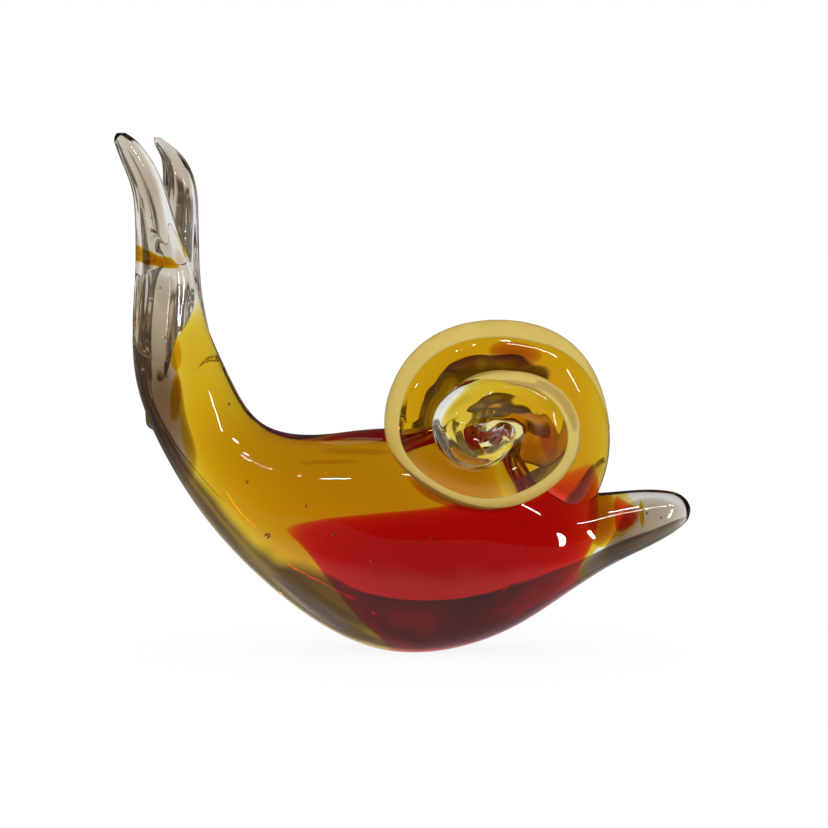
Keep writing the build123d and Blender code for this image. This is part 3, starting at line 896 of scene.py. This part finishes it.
def paper_sweep():
    """White paper that keeps the ornament's shadow.

    It is evenly white for the camera. Mirrored in glass it is dimmer further off, and seen through glass it
    is white as far as WHITE_REACH and streaky past that.
    """
    material, tree, output = new_material("White paper sweep")
    path = add_node(tree, "ShaderNodeLightPath")
    passing = path.outputs["Is Transmission Ray"]
    by_glass = maths(tree, "MAXIMUM", path.outputs["Is Glossy Ray"], passing)
    seen = maths(tree, "MAXIMUM", path.outputs["Is Camera Ray"], by_glass)
    share = maths(tree, "MULTIPLY", unscattered(tree, path, seen), FLOOR_GLOW_SHARE)

    place = add_node(tree, "ShaderNodeTexCoord").outputs["Object"]
    away = add_node(tree, "ShaderNodeVectorMath", {"operation": "LENGTH"}, {0: place}).outputs["Value"]
    mirrored = eased(tree, away, *FLOOR_MIRRORED)
    white = eased(tree, away, *FLOOR_THROUGH)
    streaky = eased(tree, past_white(tree, place, away), *FLOOR_TURNS)
    behind = mixed_colour(tree, streaky, white, streaks(tree, place, FLOOR_STRETCH, FLOOR_STREAKS))
    in_glass = mixed_colour(tree, passing, mirrored, behind)
    level = mixed_colour(tree, by_glass, (FLOOR_GLOW, FLOOR_GLOW, FLOOR_GLOW, 1), in_glass)

    paper = add_node(tree, "ShaderNodeBsdfDiffuse", inputs={"Color": srgb(FLOOR_COLOUR)})
    glow = add_node(tree, "ShaderNodeEmission", inputs={"Color": level, "Strength": 1.0})
    surface = mixed_shader(tree, share, paper.outputs["BSDF"], glow.outputs["Emission"])
    tree.links.new(surface, output.inputs["Surface"])
    return material


def room_brightness(tree, direction):
    """1 where the room that is seen through glass is white, 0 where it is streaky."""
    split = add_node(tree, "ShaderNodeSeparateXYZ", inputs={"Vector": direction})
    x, y, z = split.outputs["X"], split.outputs["Y"], split.outputs["Z"]
    skew = maths(tree, "ABSOLUTE", maths(tree, "MULTIPLY", x, y))
    height = maths(tree, "MULTIPLY_ADD", x, -SWEEP_SLOPE, z)
    sweep = maths(tree, "MULTIPLY", eased(tree, skew, *SWEEP_SIDES), eased(tree, height, *SWEEP_TOP))
    left_wall = maths(tree, "MULTIPLY", eased(tree, x, *LEFT_WALL), eased(tree, z, *LEFT_WALL_TOP))
    end_walls = eased(tree, maths(tree, "ABSOLUTE", y), *END_WALLS)
    bright = sweep
    for other in (left_wall, end_walls, eased(tree, z, *CEILING)):
        bright = maths(tree, "MAXIMUM", bright, other)
    return bright


def background(tree, colour, strength):
    """Light from all round."""
    return add_node(tree, "ShaderNodeBackground", inputs={"Color": colour, "Strength": strength}).outputs[0]


def studio_world():
    """World that is white for the camera, an even light on matt surfaces, a dim room where glass mirrors it
    and a partly streaky room where it is seen through glass."""
    world = bpy.data.worlds.new("Studio")
    world.use_nodes = True
    tree = world.node_tree
    tree.nodes.clear()
    output = add_node(tree, "ShaderNodeOutputWorld")
    direction = add_node(tree, "ShaderNodeTexCoord").outputs["Generated"]
    streaky = streaks(tree, direction, ROOM_STRETCH, ROOM_STREAKS)
    room = mixed_colour(tree, room_brightness(tree, direction), streaky, srgb(ROOM_WHITE))

    path = add_node(tree, "ShaderNodeLightPath")
    light = background(tree, (1, 1, 1, 1), SOFT_STRENGTH)
    mirroring = unscattered(tree, path, path.outputs["Is Glossy Ray"])
    light = mixed_shader(tree, mirroring, light, background(tree, srgb(MIRRORED_ROOM), MIRRORED_STRENGTH))
    passing = unscattered(tree, path, path.outputs["Is Transmission Ray"])
    light = mixed_shader(tree, passing, light, background(tree, room, 1.0))
    light = mixed_shader(tree, path.outputs["Is Camera Ray"], light, background(tree, (1, 1, 1, 1), 1.0))
    tree.links.new(light, output.inputs["Surface"])
    return world


def add_camera(scene):
    """Camera in front of the near side, a little above the point that it looks at."""
    camera_data = bpy.data.cameras.new("Camera")
    camera_data.lens = LENS
    camera_data.sensor_width = SENSOR
    camera = bpy.data.objects.new("Camera", camera_data)
    scene.collection.objects.link(camera)
    x, y, z = LOOK_AT
    back = CAMERA_DISTANCE * math.cos(CAMERA_RISE)
    up = CAMERA_DISTANCE * math.sin(CAMERA_RISE)
    camera.location = (x, y - back, z + up)
    camera.rotation_euler = (math.pi / 2 - CAMERA_RISE, 0, 0)
    scene.camera = camera


def add_lamp(scene, name, place, width, length, roll, power):
    """Rectangular lamp that faces the ornament and shows in its glass, but lights no matt surface."""
    lamp = bpy.data.lights.new(name, "AREA")
    lamp.shape = "RECTANGLE"
    lamp.size = width
    lamp.size_y = length
    lamp.energy = power
    holder = bpy.data.objects.new(name, lamp)
    holder.location = place
    scene.collection.objects.link(holder)
    aim = holder.location.copy()
    aim.z -= LAMP_AIM_HEIGHT
    turn = aim.to_track_quat("Z", "Y").to_matrix() @ Matrix.Rotation(math.radians(roll), 3, "Z")
    holder.rotation_euler = turn.to_euler()
    holder.visible_diffuse = False


class SNAIL_OT_stage(bpy.types.Operator):
    """White floor, soft studio light and the camera"""
    bl_idname = "snail.stage"
    bl_label = "Stage"

    def execute(self, context):
        scene = context.scene
        scene.view_settings.view_transform = "Standard"
        scene.cycles.max_bounces = GLASS_BOUNCES
        scene.cycles.transmission_bounces = GLASS_BOUNCES
        scene.cycles.glossy_bounces = MIRROR_BOUNCES
        bpy.ops.mesh.primitive_plane_add(size=FLOOR_SIZE)
        floor = context.object
        floor.name = "floor"
        floor.data.materials.append(paper_sweep())
        scene.world = studio_world()
        add_camera(scene)
        for lamp in LAMPS:
            add_lamp(scene, *lamp)
        return {"FINISHED"}


class SNAIL_PT_panel(bpy.types.Panel):
    """Sidebar panel that lists the snail's pieces"""
    bl_idname = "SNAIL_PT_panel"
    bl_label = "Glass snail"
    bl_space_type = "VIEW_3D"
    bl_region_type = "UI"
    bl_category = "Snail"

    def draw(self, context):
        for operator in OPERATORS:
            self.layout.operator(operator.bl_idname)


OPERATORS = [SNAIL_OT_skin, SNAIL_OT_gathers, SNAIL_OT_rod, SNAIL_OT_stage]
CLASSES = [SnailGlass, *OPERATORS, SNAIL_PT_panel]


def register():
    for kind in CLASSES:
        bpy.utils.register_class(kind)
    bpy.types.Scene.snail_glass = bpy.props.PointerProperty(type=SnailGlass)


def unregister():
    del bpy.types.Scene.snail_glass
    for kind in reversed(CLASSES):
        bpy.utils.unregister_class(kind)


def main():
    register()
    bpy.ops.snail.skin()
    bpy.ops.snail.gathers()
    bpy.ops.snail.rod()
    bpy.ops.snail.stage()


if __name__ == "__main__":
    main()
